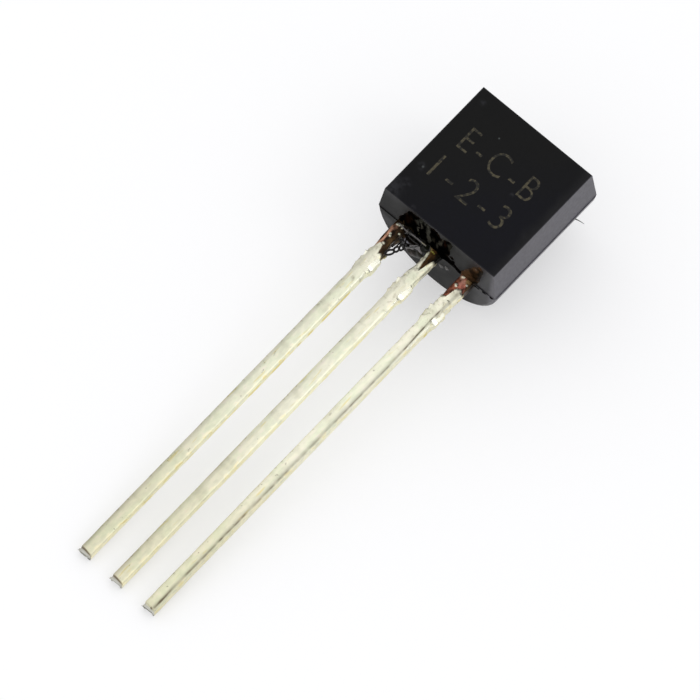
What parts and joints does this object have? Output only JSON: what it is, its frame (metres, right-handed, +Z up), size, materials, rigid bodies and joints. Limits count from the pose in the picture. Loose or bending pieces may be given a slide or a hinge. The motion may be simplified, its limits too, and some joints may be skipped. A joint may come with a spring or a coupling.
{
  "type": "to-92 transistor",
  "caption": "Small transistor in a D-shaped moulded plastic package with a flat marked face and straight solder-coated leads, lying on its rounded back with the lead ends down.",
  "frame": {"origin": "on the surface the transistor lies on, under the middle of its bounding box", "axes": "+Z up from the surface, +Y along the transistor from the lead ends towards the body, +X across it from the emitter lead to the base lead"},
  "size_m": [0.0046, 0.0188, 0.004],
  "materials": {
    "epoxy": "near-black moulding compound, fine matt grain on the flat face, darker glossy resin film at the lower end",
    "lead_strip": "copper-alloy strip with a pale warm solder coat, bare and browned for the first millimetre",
    "silicon": "polished dark grey silicon",
    "bond_layer": "dull metal-filled bonding layer",
    "wire": "bright gold wire"
  },
  "bodies": {
    "root": {"body": "epoxy", "emitter_lead": "lead_strip", "collector_lead": "lead_strip", "base_lead": "lead_strip", "chip": "silicon", "chip_bond": "bond_layer", "emitter_wire": "wire", "base_wire": "wire"}
  },
  "joints": []
}
